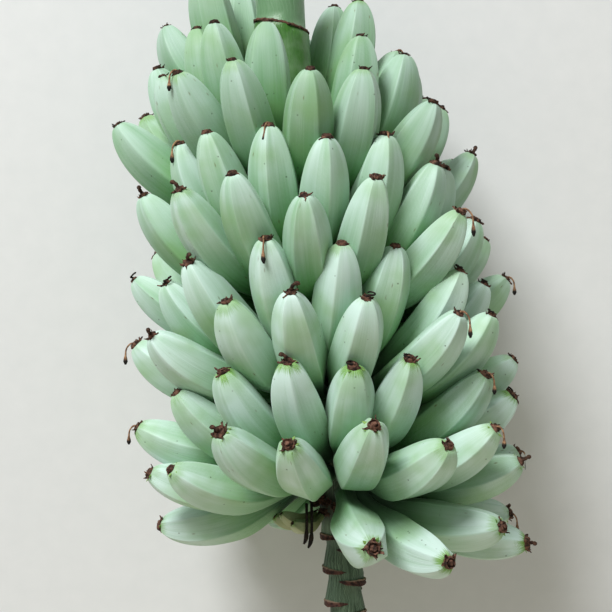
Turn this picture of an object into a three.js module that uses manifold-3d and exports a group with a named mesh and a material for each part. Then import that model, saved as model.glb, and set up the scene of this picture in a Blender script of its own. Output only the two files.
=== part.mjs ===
// A cut bunch of bananas: a stalk with nine hands of fruit, lying on its back.
// Millimetres. The bunch is laid out as it hangs, with X to the right, Y to the back and Z up.
// Angles round the stalk are in degrees from the front, towards the right. At the end the bunch
// is laid on its back, so that the top of the stalk points along +Y and the front faces up.

import * as THREE from "three";
import { mergeVertices } from "three/addons/utils/BufferGeometryUtils.js";
import Module from "manifold-3d";

// ---------------------------------------------------------------- sizes

// The stalk: flat cuts at both ends, a taper, and a sideways sweep from foot to top.
const STALK_TOP = 385;
const STALK_BOTTOM = -345;
const STALK_TOP_RADIUS = 30;
const STALK_BOTTOM_RADIUS = 21;
const SWEEP_FROM = 42;
const SWEEP_TO = -29;
const STALK_SIDES = 12;
const STALK_RINGS = 12;

// Below the fruit the stalk is thinner and carries the scars of shed bracts, one above another in
// a spiral: each is a lip on part of its girth, long above and steep below. Over the fruit a
// collar ends its thick part.
const WAIST = 5;
const WAIST_FROM = -200;
const WAIST_TO = -236;
const SCARS = 9;
const SCAR_TOP = -240;
const SCAR_PITCH = 11.5;
const SCAR_TURN = 121;
const SCAR_FACING = -72;
const SCAR_ARC = 80;
const SCAR_LIP = 6;
const SCAR_STEP = 3;
const SCAR_FLARE = 24;
const COLLAR = 292;
const COLLAR_STEP = 3.5;

// Each hand of fruit: its height on the stalk, how far its right side stands above the middle
// (slant), how far its ends hang (droop), the fingers' length, and its rows, the lowest first: how
// many fingers, the way the row faces, the arc it covers, and the slope of a finger at its foot
// and at its tip. "parts" is how many solids the hand is made in.
const HANDS = [
  { z: 184, slant: -16, droop: 8, length: 160, parts: 5,
    rows: [[6, 186, 156, 40, 80], [5, 190, 140, 62, 90]] },
  { z: 112, slant: -16, droop: 8, length: 170, parts: 6,
    rows: [[7, 3, 158, 32, 74], [3, -54, 56, 54, 88], [3, 70, 56, 54, 88]] },
  { z: 86, slant: -22, droop: 8, length: 190, parts: 7,
    rows: [[8, 188, 190, 20, 66], [7, 192, 170, 40, 80]] },
  { z: 12, slant: -14, droop: 10, length: 178, parts: 7,
    rows: [[8, 12, 164, 16, 64], [7, 3, 150, 40, 80]] },
  { z: -28, slant: -2, droop: 12, length: 182, parts: 7,
    rows: [[8, 186, 184, 16, 60], [7, 186, 160, 34, 74]] },
  { z: -78, slant: -6, droop: 26, length: 176, parts: 7,
    rows: [[8, -1, 168, 12, 62], [7, 2, 150, 36, 78]] },
  { z: -126, slant: 4, droop: 20, length: 174, parts: 7,
    rows: [[8, 182, 182, 4, 52], [6, 182, 150, 26, 68]] },
  { z: -160, slant: 2, droop: 28, length: 166, parts: 7,
    rows: [[9, 8, 176, 0, 48], [7, 8, 148, 30, 74]] },
  { z: -180, slant: -4, droop: 0, length: 164, parts: 4,
    rows: [[12, 136, 258, -32, 8]] },
];
const FINGER_WIDTH = 49.5;
const CROWN = 16; // how far a finger's foot stands off the stalk
const ROW_RISE = 20; // from a hand's lowest row to the rows over it

// The last, undeveloped hand: thin fingers close under the fruit.
const SMALL_HAND = { z: -207, slant: 0, droop: 0, length: 49, parts: 1,
  rows: [[4, 290, 50, -36, 40]], width: 17, crown: 5 };

// A finger: five flat sides, a narrow foot, a belly and a blunt tip, as shares of its length
// and of its half width.
const SIDES = 5;
const STATIONS = [0, 0.32, 0.56, 0.8, 1];
const FOOT_SHARE = 0.42;
const SWELL_FROM = 0.06;
const SWELL_TO = 0.5;
const BELLY = 0.55;
const TIP_LOSS = 0.7;
const TIP_POWER = 3;

// The crown that joins a few feet to the stalk: how far it reaches past them, in degrees round the
// stalk, in shares of a finger's width up and down it, and out.
const CROWN_ARC = 5;
const CROWN_SHARE = 0.2;
const CROWN_LIP = 3;
const CROWN_STEP = 36; // degrees of arc that one flat side may span

// Fingers differ a little: shares of length and width, degrees of place and slope.
const SIZE_SPREAD = 0.04;
const FACING_SPREAD = 2;
const SLOPE_SPREAD = [2, 4];
const END_DROP = 0.4; // millimetres and degrees for each millimetre of droop
const END_SLOPE = 0.8;
const ZIGZAG = 4; // every second finger stands higher by twice this

// How the fingers settle side by side: balls along each one push its neighbours' balls away.
const BALLS = [0.24, 0.38, 0.52, 0.66, 0.8, 0.93];
const BALL_SHARE = 0.88;
const ROUNDS = 120;
const EASE = 0.3;
const SPRING_BACK = 0.03;
const STALK_KEEP = 29.5;

const GROUND = 168; // from the stalk's axis to the ground under the bunch's back
const GAP = 0.35; // between solids that touch
const MERGE = 0.02; // edges shorter than this are closed up

const SKINS = [0x9fc29b, 0xa6c8a4, 0x98bb97, 0xacccab];
const STALK_GREEN = 0x3d6134;
const SMALL_GREEN = 0x8aa67a;

// ---------------------------------------------------------------- numbers

const wasm = await Module();
wasm.setup();
const radians = THREE.MathUtils.degToRad;
const { smoothstep, lerp } = THREE.MathUtils;

// A repeatable number from -1 to 1 for four whole numbers.
function spread(a, b, c, d) {
  const x = 43758.5453 * Math.sin(12.9898 * a + 78.233 * b + 37.719 * c + 4.581 * d + 7.31);
  return 2 * (x - Math.floor(x)) - 1;
}

function stalkShare(z) {
  return THREE.MathUtils.clamp((z - STALK_BOTTOM) / (STALK_TOP - STALK_BOTTOM), 0, 1);
}

function stalkX(z) {
  return lerp(SWEEP_FROM, SWEEP_TO, smoothstep(stalkShare(z), 0, 1));
}

function stalkRadius(z) {
  return lerp(STALK_BOTTOM_RADIUS, STALK_TOP_RADIUS, stalkShare(z));
}

// A finger's half width at a share s of its length, as a share of its greatest.
function girth(s) {
  if (s < BELLY) return lerp(FOOT_SHARE, 1, smoothstep(s, SWELL_FROM, SWELL_TO));
  return 1 - TIP_LOSS * ((s - BELLY) / (1 - BELLY)) ** TIP_POWER;
}

// ---------------------------------------------------------------- fingers

// One finger of a hand: where it stands and how it curves up from there.
function finger(hand, h, row, i) {
  const [count, facing, arc, footSlope, tipSlope] = hand.rows[row];
  const u = i / (count - 1) - 0.5;
  const angle = radians(facing + arc * u + FACING_SPREAD * spread(h, row, i, 1));
  const hang = hand.droop * (2 * u) ** 2;
  const z = hand.z + ROW_RISE * (row ? 0.5 : -0.5) + hand.slant * Math.sin(angle) - END_DROP * hang;
  const lift = (i % 2 ? -ZIGZAG : ZIGZAG) - END_SLOPE * hang;
  const crown = hand.crown ?? CROWN;
  const foot = stalkRadius(z) + crown;
  return {
    angle,
    crown,
    foot: new THREE.Vector3(stalkX(z) + foot * Math.sin(angle), -foot * Math.cos(angle), z),
    slopes: [
      radians(footSlope + lift + SLOPE_SPREAD[0] * spread(h, row, i, 2)),
      radians(tipSlope + lift + SLOPE_SPREAD[1] * spread(h, row, i, 3)),
    ],
    length: hand.length * (1 + SIZE_SPREAD * spread(h, row, i, 4)),
    width: (hand.width ?? FINGER_WIDTH) * (1 + SIZE_SPREAD * spread(h, row, i, 5)),
    roll: Math.PI * spread(h, row, i, 6),
    yaw: 0,
    pitch: 0,
  };
}

function fingersOf(hand, h) {
  return hand.rows.flatMap(([count], row) =>
    Array.from({ length: count }, (_, i) => finger(hand, h, row, i)));
}

// The finger's own directions: out from the stalk, and level to its side.
function outward(f) {
  return new THREE.Vector3(Math.sin(f.angle + f.yaw), -Math.cos(f.angle + f.yaw), 0);
}

function sideways(f) {
  return new THREE.Vector3(Math.cos(f.angle + f.yaw), Math.sin(f.angle + f.yaw), 0);
}

// The centre line is an arc in the upright plane through the foot: its slope grows evenly.
function slopeAt(f, s) {
  return f.pitch + lerp(f.slopes[0], f.slopes[1], s);
}

function centreAt(f, s) {
  const bend = f.length / (f.slopes[1] - f.slopes[0]);
  const from = slopeAt(f, 0);
  const to = slopeAt(f, s);
  const out = bend * (Math.sin(to) - Math.sin(from));
  const up = bend * (Math.cos(from) - Math.cos(to));
  const point = f.foot.clone().addScaledVector(outward(f), out);
  point.z += up;
  return point;
}

// Fingers turn about their feet, sideways by yaw and upright by pitch, until they lie together.
function settle(fingers) {
  const balls = fingers.flatMap((f) =>
    BALLS.map((s) => ({ f, s, radius: 0.5 * BALL_SHARE * f.width * girth(s) })));
  for (let round = 0; round < ROUNDS; round++) {
    for (const ball of balls) {
      ball.at = centreAt(ball.f, ball.s);
      ball.push = new THREE.Vector3();
    }
    balls.forEach((a, i) => pushNeighbours(a, balls, i));
    balls.forEach(pushFromStalkAndGround);
    for (const f of fingers) turn(f, balls.filter((ball) => ball.f === f));
  }
}

function pushNeighbours(a, balls, i) {
  for (let j = i + 1; j < balls.length; j++) {
    const b = balls[j];
    if (a.f === b.f) continue;
    const reach = a.radius + b.radius;
    const far = a.at.distanceToSquared(b.at);
    if (far >= reach * reach) continue;
    const between = a.at.clone().sub(b.at);
    const distance = Math.sqrt(far);
    between.multiplyScalar((0.5 * (reach - distance)) / distance);
    a.push.add(between);
    b.push.sub(between);
  }
}

function pushFromStalkAndGround(ball) {
  const x = ball.at.x - stalkX(ball.at.z);
  const distance = Math.hypot(x, ball.at.y);
  const over = Math.max(STALK_KEEP + ball.radius - distance, 0);
  ball.push.x += (over * x) / distance;
  ball.push.y += (over * ball.at.y) / distance;
  ball.push.y -= Math.max(ball.at.y + ball.radius - GROUND, 0);
}

function turn(f, balls) {
  const side = sideways(f);
  const out = outward(f);
  let yaw = 0;
  let pitch = 0;
  let yawReach = 0;
  let pitchReach = 0;
  for (const ball of balls) {
    const arm = ball.at.clone().sub(f.foot);
    const reach = arm.dot(out);
    const lift = out.clone().multiplyScalar(-arm.z);
    lift.z = reach;
    yaw += reach * ball.push.dot(side);
    pitch += ball.push.dot(lift);
    yawReach = Math.max(yawReach, reach * reach);
    pitchReach = Math.max(pitchReach, lift.lengthSq());
  }
  f.yaw += (EASE * yaw) / yawReach - SPRING_BACK * f.yaw;
  f.pitch += (EASE * pitch) / pitchReach - SPRING_BACK * f.pitch;
}

// ---------------------------------------------------------------- solids

// A closed skin over rings of points, each ring running the same way round.
function skin(rings) {
  const sides = rings[0].length;
  const index = [];
  for (let k = 0; k + 1 < rings.length; k++) {
    for (let j = 0; j < sides; j++) {
      const a = k * sides + j;
      const b = k * sides + ((j + 1) % sides);
      index.push(a, b, b + sides, a, b + sides, a + sides);
    }
  }
  const last = (rings.length - 1) * sides;
  for (let j = 1; j + 1 < sides; j++) {
    index.push(0, j + 1, j);
    index.push(last, last + j, last + j + 1);
  }
  const geometry = new THREE.BufferGeometry().setFromPoints(rings.flat());
  return geometry.setIndex(index);
}

function solid(geometry) {
  const bare = geometry.clone();
  bare.deleteAttribute("normal");
  bare.deleteAttribute("uv");
  const merged = mergeVertices(bare);
  return new wasm.Manifold(new wasm.Mesh({
    numProp: 3,
    vertProperties: merged.attributes.position.array,
    triVerts: new Uint32Array(merged.index.array),
  }));
}

// A ring of points round a centre, in the plane of two level or upright directions.
function ring(centre, side, up, radius, sides, turned) {
  return Array.from({ length: sides }, (_, j) => {
    const angle = turned + (2 * Math.PI * j) / sides;
    return centre.clone()
      .addScaledVector(side, radius * Math.cos(angle))
      .addScaledVector(up, radius * Math.sin(angle));
  });
}

// The finger's section at s, grown by a margin that its flat sides keep.
function section(f, s, margin) {
  const slope = slopeAt(f, s);
  const along = outward(f).multiplyScalar(Math.cos(slope));
  along.z = Math.sin(slope);
  const side = sideways(f);
  const up = side.clone().cross(along).negate();
  const radius = 0.5 * f.width * girth(s) + margin / Math.cos(Math.PI / SIDES);
  const centre = centreAt(f, s);
  if (s === 1) centre.addScaledVector(along, margin);
  return ring(centre, side, up, radius, SIDES, f.roll);
}

function fingerSolid(f, margin) {
  return solid(skin(STATIONS.map((s) => section(f, s, margin))));
}

// The block of crown under a few neighbouring feet: it goes round from the first to the last, and
// from inside the stalk out.
function crown(fingers, margin) {
  const angles = fingers.map((f) => f.angle);
  const heights = fingers.map((f) => f.foot.z);
  const rise = fingers[0].width * CROWN_SHARE + margin;
  const low = Math.min(...heights) - rise;
  const high = Math.max(...heights) + rise;
  const radius = stalkRadius(low);
  const reach = radius + fingers[0].crown + CROWN_LIP + margin;
  const past = radians(CROWN_ARC) + margin / radius;
  const from = Math.min(...angles) - past;
  const arc = Math.max(...angles) + past - from;
  const steps = Math.ceil(arc / radians(CROWN_STEP));
  const corner = (angle, r, z) =>
    new THREE.Vector3(stalkX(z) + r * Math.sin(angle), -r * Math.cos(angle), z);
  return solid(skin(Array.from({ length: steps + 1 }, (_, k) => {
    const angle = from + (arc * k) / steps;
    return [
      corner(angle, 0.5 * radius, low),
      corner(angle, 0.5 * radius, high),
      corner(angle, reach, high),
      corner(angle, reach, low),
    ];
  })));
}

// Neighbouring fingers with the crown that carries them.
function cluster(fingers, margin) {
  return fingers.reduce((whole, f) => whole.add(fingerSolid(f, margin)), crown(fingers, margin));
}

// How far a scar's lip stands out at a height and an angle round the stalk.
function lip(k, z, angle) {
  const facing = radians(SCAR_FACING + SCAR_TURN * k);
  const away = Math.acos(Math.cos(angle - facing)) / radians(SCAR_ARC);
  const over = z - (SCAR_TOP - SCAR_PITCH * k);
  const fall = over < 0 ? 1 + over / SCAR_STEP : 1 - over / SCAR_FLARE;
  return SCAR_LIP * Math.max(0, 1 - away * away) * Math.max(0, fall);
}

// The stalk's skin at a height and an angle round it.
function skinRadius(z, angle) {
  const lips = Array.from({ length: SCARS }, (_, k) => lip(k, z, angle));
  const waist = WAIST * (1 - smoothstep(z, WAIST_TO, WAIST_FROM));
  return stalkRadius(z) - waist - (z > COLLAR ? COLLAR_STEP : 0) + Math.max(...lips);
}

function stalkRing(z, margin) {
  return Array.from({ length: STALK_SIDES }, (_, j) => {
    const angle = (2 * Math.PI * j) / STALK_SIDES;
    const r = skinRadius(z, angle) + margin;
    return new THREE.Vector3(stalkX(z) + r * Math.sin(angle), -r * Math.cos(angle), z);
  });
}

function stalk(margin) {
  const heights = [STALK_BOTTOM];
  for (let k = SCARS - 1; k >= 0; k--) {
    const z = SCAR_TOP - SCAR_PITCH * k;
    heights.push(z - SCAR_STEP, z);
  }
  for (let k = 0; k <= STALK_RINGS; k++) {
    heights.push(lerp(SCAR_TOP + SCAR_FLARE, COLLAR, k / STALK_RINGS));
  }
  heights.push(COLLAR + 1, STALK_TOP);
  return solid(skin(heights.map((z) => stalkRing(z, margin))));
}

// Everything behind the bunch, where the ground will be.
function ground() {
  const size = 4 * GROUND;
  const box = new THREE.BoxGeometry(4 * size, size, 4 * size);
  return solid(box.translate(0, GROUND + size / 2, 0));
}

function largest(made) {
  return made.simplify(MERGE).decompose().sort((a, b) => b.volume() - a.volume())[0];
}

function meshOf(name, made, color) {
  const { vertProperties, triVerts } = made.getMesh();
  const geometry = new THREE.BufferGeometry()
    .setAttribute("position", new THREE.BufferAttribute(vertProperties, 3))
    .setIndex(new THREE.BufferAttribute(triVerts, 1));
  geometry.computeVertexNormals();
  const material = new THREE.MeshStandardMaterial({ color, roughness: 0.55, metalness: 0 });
  const mesh = new THREE.Mesh(geometry, material);
  mesh.name = name;
  return mesh;
}

// ---------------------------------------------------------------- bunch

const hands = [...HANDS, SMALL_HAND].map((hand, h) => fingersOf(hand, h));
settle(hands.flat());

const bunch = new THREE.Group();
bunch.add(meshOf("stalk", stalk(0), STALK_GREEN));

// Each hand is cut into parts by order round the stalk, and each part keeps clear of the stalk,
// the ground and the parts made before it.
const stalkSpace = stalk(GAP);
const groundSpace = ground();
const taken = [];

function touch(a, b) {
  return [0, 1, 2].every((k) => a.min[k] <= b.max[k] && b.min[k] <= a.max[k]);
}

function addPart(name, fingers, color) {
  let made = cluster(fingers, 0).subtract(stalkSpace).subtract(groundSpace);
  const box = made.boundingBox();
  for (const other of taken) {
    if (touch(box, other.box)) made = made.subtract(other.space);
  }
  bunch.add(meshOf(name, largest(made), color));
  const space = cluster(fingers, GAP);
  taken.push({ space, box: space.boundingBox() });
}

HANDS.forEach((hand, h) => {
  const inOrder = hands[h].toSorted((a, b) => a.angle - b.angle);
  for (let p = 0; p < hand.parts; p++) {
    const from = Math.floor((p * inOrder.length) / hand.parts);
    const to = Math.floor(((p + 1) * inOrder.length) / hand.parts);
    addPart(`hand_${h + 1}_fruit_${p + 1}`, inOrder.slice(from, to), SKINS[p % SKINS.length]);
  }
});
addPart("undeveloped_hand", hands.at(-1), SMALL_GREEN);

// Laid on its back, with the middle of its underside at the origin.
bunch.rotation.x = -Math.PI / 2;
const bounds = new THREE.Box3().setFromObject(bunch);
const middle = bounds.getCenter(new THREE.Vector3());
bunch.position.set(-middle.x, -middle.y, GROUND);

export default bunch;
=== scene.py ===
"""A cut bunch of bananas on its back, dressed over its solids.

The rule that lays out the fingers is the one the solids follow, in millimetres and as the bunch
hangs: X to the right, Y to the back, Z up, angles round the stalk from the front to the right.
Row frame: the front faces up and the top of the stalk points along +Y.
"""
import itertools
import math

import bmesh
import bpy
import numpy as np
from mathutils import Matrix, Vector


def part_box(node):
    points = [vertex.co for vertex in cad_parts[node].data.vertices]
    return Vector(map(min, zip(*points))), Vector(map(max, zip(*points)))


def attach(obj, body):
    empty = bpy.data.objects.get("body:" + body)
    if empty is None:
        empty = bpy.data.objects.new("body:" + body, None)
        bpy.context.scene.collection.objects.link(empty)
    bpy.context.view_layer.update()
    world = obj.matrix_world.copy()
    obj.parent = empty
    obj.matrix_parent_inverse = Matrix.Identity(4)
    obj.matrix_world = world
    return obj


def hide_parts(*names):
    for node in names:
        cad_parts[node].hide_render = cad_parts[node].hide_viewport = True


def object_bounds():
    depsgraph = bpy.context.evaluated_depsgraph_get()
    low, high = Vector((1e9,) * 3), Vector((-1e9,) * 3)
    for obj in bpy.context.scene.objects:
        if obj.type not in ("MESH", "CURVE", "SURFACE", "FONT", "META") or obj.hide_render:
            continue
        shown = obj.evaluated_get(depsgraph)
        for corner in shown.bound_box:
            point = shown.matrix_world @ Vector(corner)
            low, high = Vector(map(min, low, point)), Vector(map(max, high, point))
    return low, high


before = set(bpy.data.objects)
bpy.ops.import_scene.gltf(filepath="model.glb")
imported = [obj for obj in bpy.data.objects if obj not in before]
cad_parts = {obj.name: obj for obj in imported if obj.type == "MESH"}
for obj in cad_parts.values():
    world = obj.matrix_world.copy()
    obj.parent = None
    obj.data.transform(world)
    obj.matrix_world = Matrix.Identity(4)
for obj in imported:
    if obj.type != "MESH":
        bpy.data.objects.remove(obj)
cad_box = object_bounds()

MM = 0.001

# --- the bunch's own sizes
# Millimetres and degrees, the same as the solids'.

STALK_TOP = 385.0
STALK_BOTTOM = -345.0
STALK_TOP_RADIUS = 30.0
STALK_BOTTOM_RADIUS = 21.0
SWEEP_FROM = 42.0  # the stalk's axis at its foot, to the right
SWEEP_TO = -29.0  # and at its top

SCARS = 9
SCAR_TOP = -240.0
SCAR_PITCH = 11.5
SCAR_TURN = 121.0  # from each scar to the next one down
SCAR_FACING = -72.0
SCAR_ARC = 80.0  # to each side of its middle
SCAR_LIP = 6.0

# rows: (count, facing, arc, slope at the foot, slope at the tip)
HANDS = [
    dict(z=184, slant=-16, droop=8, length=160, parts=5,
         rows=[(6, 186, 156, 40, 80), (5, 190, 140, 62, 90)]),
    dict(z=112, slant=-16, droop=8, length=170, parts=6,
         rows=[(7, 3, 158, 32, 74), (3, -54, 56, 54, 88), (3, 70, 56, 54, 88)]),
    dict(z=86, slant=-22, droop=8, length=190, parts=7,
         rows=[(8, 188, 190, 20, 66), (7, 192, 170, 40, 80)]),
    dict(z=12, slant=-14, droop=10, length=178, parts=7,
         rows=[(8, 12, 164, 16, 64), (7, 3, 150, 40, 80)]),
    dict(z=-28, slant=-2, droop=12, length=182, parts=7,
         rows=[(8, 186, 184, 16, 60), (7, 186, 160, 34, 74)]),
    dict(z=-78, slant=-6, droop=26, length=176, parts=7,
         rows=[(8, -1, 168, 12, 62), (7, 2, 150, 36, 78)]),
    dict(z=-126, slant=4, droop=20, length=174, parts=7,
         rows=[(8, 182, 182, 4, 52), (6, 182, 150, 26, 68)]),
    dict(z=-160, slant=2, droop=28, length=166, parts=7,
         rows=[(9, 8, 176, 0, 48), (7, 8, 148, 30, 74)]),
    dict(z=-180, slant=-4, droop=0, length=164, parts=4,
         rows=[(12, 136, 258, -32, 8)]),
]
SMALL_HAND = dict(z=-207, slant=0, droop=0, length=49, parts=1,
                  rows=[(4, 290, 50, -36, 40)], width=17.0, crown=5.0)
FINGER_WIDTH = 49.5
CROWN = 16.0  # from the stalk's skin out to a finger's foot
ROW_RISE = 20.0  # between a hand's two rows
FOOT_SHARE = 0.42  # of the greatest half width
SWELL_FROM = 0.06  # these three are shares of the length
SWELL_TO = 0.5
BELLY = 0.55
TIP_LOSS = 0.7
TIP_POWER = 3.0
SIZE_SPREAD = 0.04
FACING_SPREAD = 2.0
SLOPE_SPREAD = (2.0, 4.0)  # at the foot and at the tip
END_DROP = 0.4  # of a hand's droop, taken by the feet of its outer fingers
END_SLOPE = 0.8
ZIGZAG = 4.0
BALLS = np.array([0.24, 0.38, 0.52, 0.66, 0.8, 0.93])  # balls that fill a finger while it settles
BALL_SHARE = 0.88
ROUNDS = 120
EASE = 0.3
SPRING_BACK = 0.03
STALK_KEEP = 29.5  # no ball comes nearer to the stalk's axis
GROUND = 168.0  # behind the stalk's axis
COLLAR_STEP = 3.5

# Where the hanging frame's origin lies in the row frame, from the stalk's own box.
STALK_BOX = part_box("stalk")
SHIFT = np.array([
    STALK_BOX[0][0] / MM - (SWEEP_TO - STALK_TOP_RADIUS + COLLAR_STEP),
    STALK_BOX[1][1] / MM - STALK_TOP,
    GROUND,
])


def to_row(points):
    """Hanging millimetres to row metres."""
    x, y, z = points.T
    return (np.stack([x, z, -y], axis=1) + SHIFT) * MM


# --- the rule of the bunch

def spread(a, b, c, d):
    """A repeatable number from -1 to 1 for four whole numbers."""
    x = 43758.5453 * math.sin(12.9898 * a + 78.233 * b + 37.719 * c + 4.581 * d + 7.31)
    return 2 * (x - math.floor(x)) - 1


def strayed(values, *key):
    """A middle value and how far it strays at most, made one value for four whole numbers."""
    return values[0] + values[1] * spread(*key)


def smooth(x, low, high):
    t = np.clip((x - low) / (high - low), 0, 1)
    return t * t * (3 - 2 * t)


def stalk_share(z):
    return np.clip((z - STALK_BOTTOM) / (STALK_TOP - STALK_BOTTOM), 0, 1)


def stalk_x(z):
    return SWEEP_FROM + (SWEEP_TO - SWEEP_FROM) * smooth(stalk_share(z), 0, 1)


def stalk_radius(z):
    return STALK_BOTTOM_RADIUS + (STALK_TOP_RADIUS - STALK_BOTTOM_RADIUS) * stalk_share(z)


def round_stalk(z, angle, r):
    """Hanging places at heights and angles round the stalk, as far off its axis as r says."""
    return np.stack([stalk_x(z) + r * np.sin(angle), -r * np.cos(angle), z], -1)


def girth(s):
    """A finger's half width at a share s of its length, as a share of its greatest."""
    foot = FOOT_SHARE + (1 - FOOT_SHARE) * smooth(s, SWELL_FROM, SWELL_TO)
    past = np.clip((s - BELLY) / (1 - BELLY), 0, 1)
    return np.where(s < BELLY, foot, 1 - TIP_LOSS * past ** TIP_POWER)


class Finger:
    """One finger of a hand: where it stands and how it curves up from there."""

    def __init__(self, hand, h, row, i):
        count, facing, arc, foot_slope, tip_slope = hand["rows"][row]
        u = i / (count - 1) - 0.5
        self.key = (h, row, i)
        self.angle = math.radians(facing + arc * u + FACING_SPREAD * spread(h, row, i, 1))
        hang = hand["droop"] * (2 * u) ** 2
        z = hand["z"] + ROW_RISE * (0.5 if row else -0.5)
        z += hand["slant"] * math.sin(self.angle) - END_DROP * hang
        lift = (-ZIGZAG if i % 2 else ZIGZAG) - END_SLOPE * hang
        self.crown = hand.get("crown", CROWN)
        r = stalk_radius(z) + self.crown
        self.foot = np.array([
            stalk_x(z) + r * math.sin(self.angle), -r * math.cos(self.angle), z])
        self.slopes = (
            math.radians(foot_slope + lift + SLOPE_SPREAD[0] * spread(h, row, i, 2)),
            math.radians(tip_slope + lift + SLOPE_SPREAD[1] * spread(h, row, i, 3)))
        self.length = hand["length"] * (1 + SIZE_SPREAD * spread(h, row, i, 4))
        self.width = hand.get("width", FINGER_WIDTH) * (1 + SIZE_SPREAD * spread(h, row, i, 5))
        self.roll = math.pi * spread(h, row, i, 6)
        self.yaw = 0.0
        self.pitch = 0.0

    def outward(self):
        turn = self.angle + self.yaw
        return np.array([math.sin(turn), -math.cos(turn), 0.0])

    def sideways(self):
        turn = self.angle + self.yaw
        return np.array([math.cos(turn), math.sin(turn), 0.0])

    def slope(self, s):
        return self.pitch + self.slopes[0] + (self.slopes[1] - self.slopes[0]) * s

    def centre(self, s):
        """Points of the centre line, an arc in the upright plane through the foot."""
        bend = self.length / (self.slopes[1] - self.slopes[0])
        start, now = self.slope(0.0), self.slope(s)
        out = bend * (np.sin(now) - np.sin(start))
        up = bend * (np.cos(start) - np.cos(now))
        return self.foot + np.outer(out, self.outward()) + np.outer(up, [0, 0, 1])


def hand_of_fingers(hand, h):
    return [Finger(hand, h, row, i)
            for row, (count, *_) in enumerate(hand["rows"]) for i in range(count)]


def settle(fingers):
    """Fingers turn about their feet until they lie side by side, off the stalk and the ground."""
    count, balls = len(fingers), len(BALLS)
    radius = np.concatenate([0.5 * BALL_SHARE * f.width * girth(BALLS) for f in fingers])
    owner = np.repeat(np.arange(count), balls)
    reach = radius[:, None] + radius[None]
    reach[owner[:, None] == owner[None]] = 0
    for _ in range(ROUNDS):
        at = np.concatenate([f.centre(BALLS) for f in fingers])
        gap = at[:, None] - at[None]
        near = np.sqrt((gap ** 2).sum(2)) + 1e-12
        share = 0.5 * np.maximum(reach - near, 0) / near
        push = (gap * share[..., None]).sum(1)
        aside = at[:, 0] - stalk_x(at[:, 2])
        away = np.hypot(aside, at[:, 1])
        over = np.maximum(STALK_KEEP + radius - away, 0) / away
        push[:, 0] += over * aside
        push[:, 1] += over * at[:, 1]
        push[:, 1] -= np.maximum(at[:, 1] + radius - GROUND, 0)
        for k, f in enumerate(fingers):
            turn_finger(f, at[k * balls:(k + 1) * balls], push[k * balls:(k + 1) * balls])


def turn_finger(f, at, push):
    arm = at - f.foot
    reach = arm @ f.outward()
    lift = np.outer(-arm[:, 2], f.outward())
    lift[:, 2] = reach
    yaw = (reach * (push @ f.sideways())).sum() / (reach ** 2).max()
    pitch = (push * lift).sum() / (lift ** 2).sum(1).max()
    f.yaw += EASE * yaw - SPRING_BACK * f.yaw
    f.pitch += EASE * pitch - SPRING_BACK * f.pitch


# --- the look's sizes

# A straight finger before it is bent, one long and one in its greatest half width.
SIDES = 5
RIDGE_WIDTH = 0.06
RIDGE_STEPS = 3
SIDE_CUTS = 3
RINGS = 26
RING_POWER = 1.5  # rings crowd towards the tip
SKIN_END = 0.965  # the dried flower has the rest of the length
SHOULDER = (2.6, 0.68)  # how late the sides draw in, and how bluntly they end
NECKS = (0.215, 0.29)  # of a finger in the first hand and in the last
PLUMP = 1.035  # the skin's swell over the solid's flat sides
FULL_FOOT = 0.7  # how far the flat sides are filled out towards round
FULL_BELLY = 0.08
FULL_TURN = (0.05, 0.45)  # shares of the length between which the one becomes the other
SIDE_DRIFT = (0.11, 0.06)  # radians that a ridge strays from its fifth of the round
SIDE_SWELL = 0.03
TWIST = 0.3  # radians from foot to tip, at most

FLOOR_CLEAR = 0.4  # millimetres under the fruit that lies on the floor


def late(f, first=0.0, last=1.0):
    """A value that goes evenly from the first hand's fingers to the last one's."""
    return first + (last - first) * min(1, f.key[0] / (len(HANDS) - 1))


def half_width(s, neck):
    """The skin's half width: the solid finger's, with shoulders that end bluntly at a neck."""
    past = ((s - BELLY) / (SKIN_END - BELLY)).clip(0, 1)
    return girth(np.minimum(s, BELLY)) * (
        neck + (1 - neck) * (1 - past ** SHOULDER[0]) ** SHOULDER[1])


def along_finger(f, s):
    slope = f.slope(s)
    return np.outer(np.cos(slope), f.outward()) + np.outer(np.sin(slope), [0, 0, 1])


def bent(f, own):
    """Hanging places of a finger's skin, from its own places on the straight finger."""
    x, y, s = own.T
    turn = np.arctan2(y, x)
    seeds = [math.pi * spread(*f.key, n) for n in (8, 9, 10)]
    fat = np.hypot(x, y) * (1 + SIDE_SWELL * np.sin(turn + seeds[2]))
    turn = turn + SIDE_DRIFT[0] * np.sin(turn + seeds[0]) + SIDE_DRIFT[1] * np.sin(
        2 * turn + seeds[1])
    turn = turn + f.roll + TWIST * spread(*f.key, 11) * (s - 0.5)
    along = along_finger(f, s)
    side = np.broadcast_to(f.sideways(), along.shape)
    up = -np.cross(side, along)
    r = (0.5 * PLUMP * f.width * half_width(s, late(f, *NECKS)) * fat)[:, None]
    return f.centre(s) + r * (np.cos(turn)[:, None] * side + np.sin(turn)[:, None] * up)


def laid(points):
    """Hanging millimetres to row metres, kept off the floor and inside the solids' box."""
    row = to_row(points)
    low = np.array(cad_box[0]) + [0, 0, FLOOR_CLEAR * MM]
    return np.clip(row, low, np.array(cad_box[1]))


# --- modelling

def pick(piece, kind, wanted):
    """In edit mode, selects the wanted vertices, edges or faces and nothing else."""
    bpy.ops.mesh.select_mode(type=kind)
    bpy.ops.mesh.select_all(action="DESELECT")
    mesh = bmesh.from_edit_mesh(piece.data)
    parts = {"VERT": mesh.verts, "EDGE": mesh.edges, "FACE": mesh.faces}[kind]
    for part in parts:
        part.select_set(bool(wanted(part)))
    mesh.select_flush_mode()
    bmesh.update_edit_mesh(piece.data)


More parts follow.
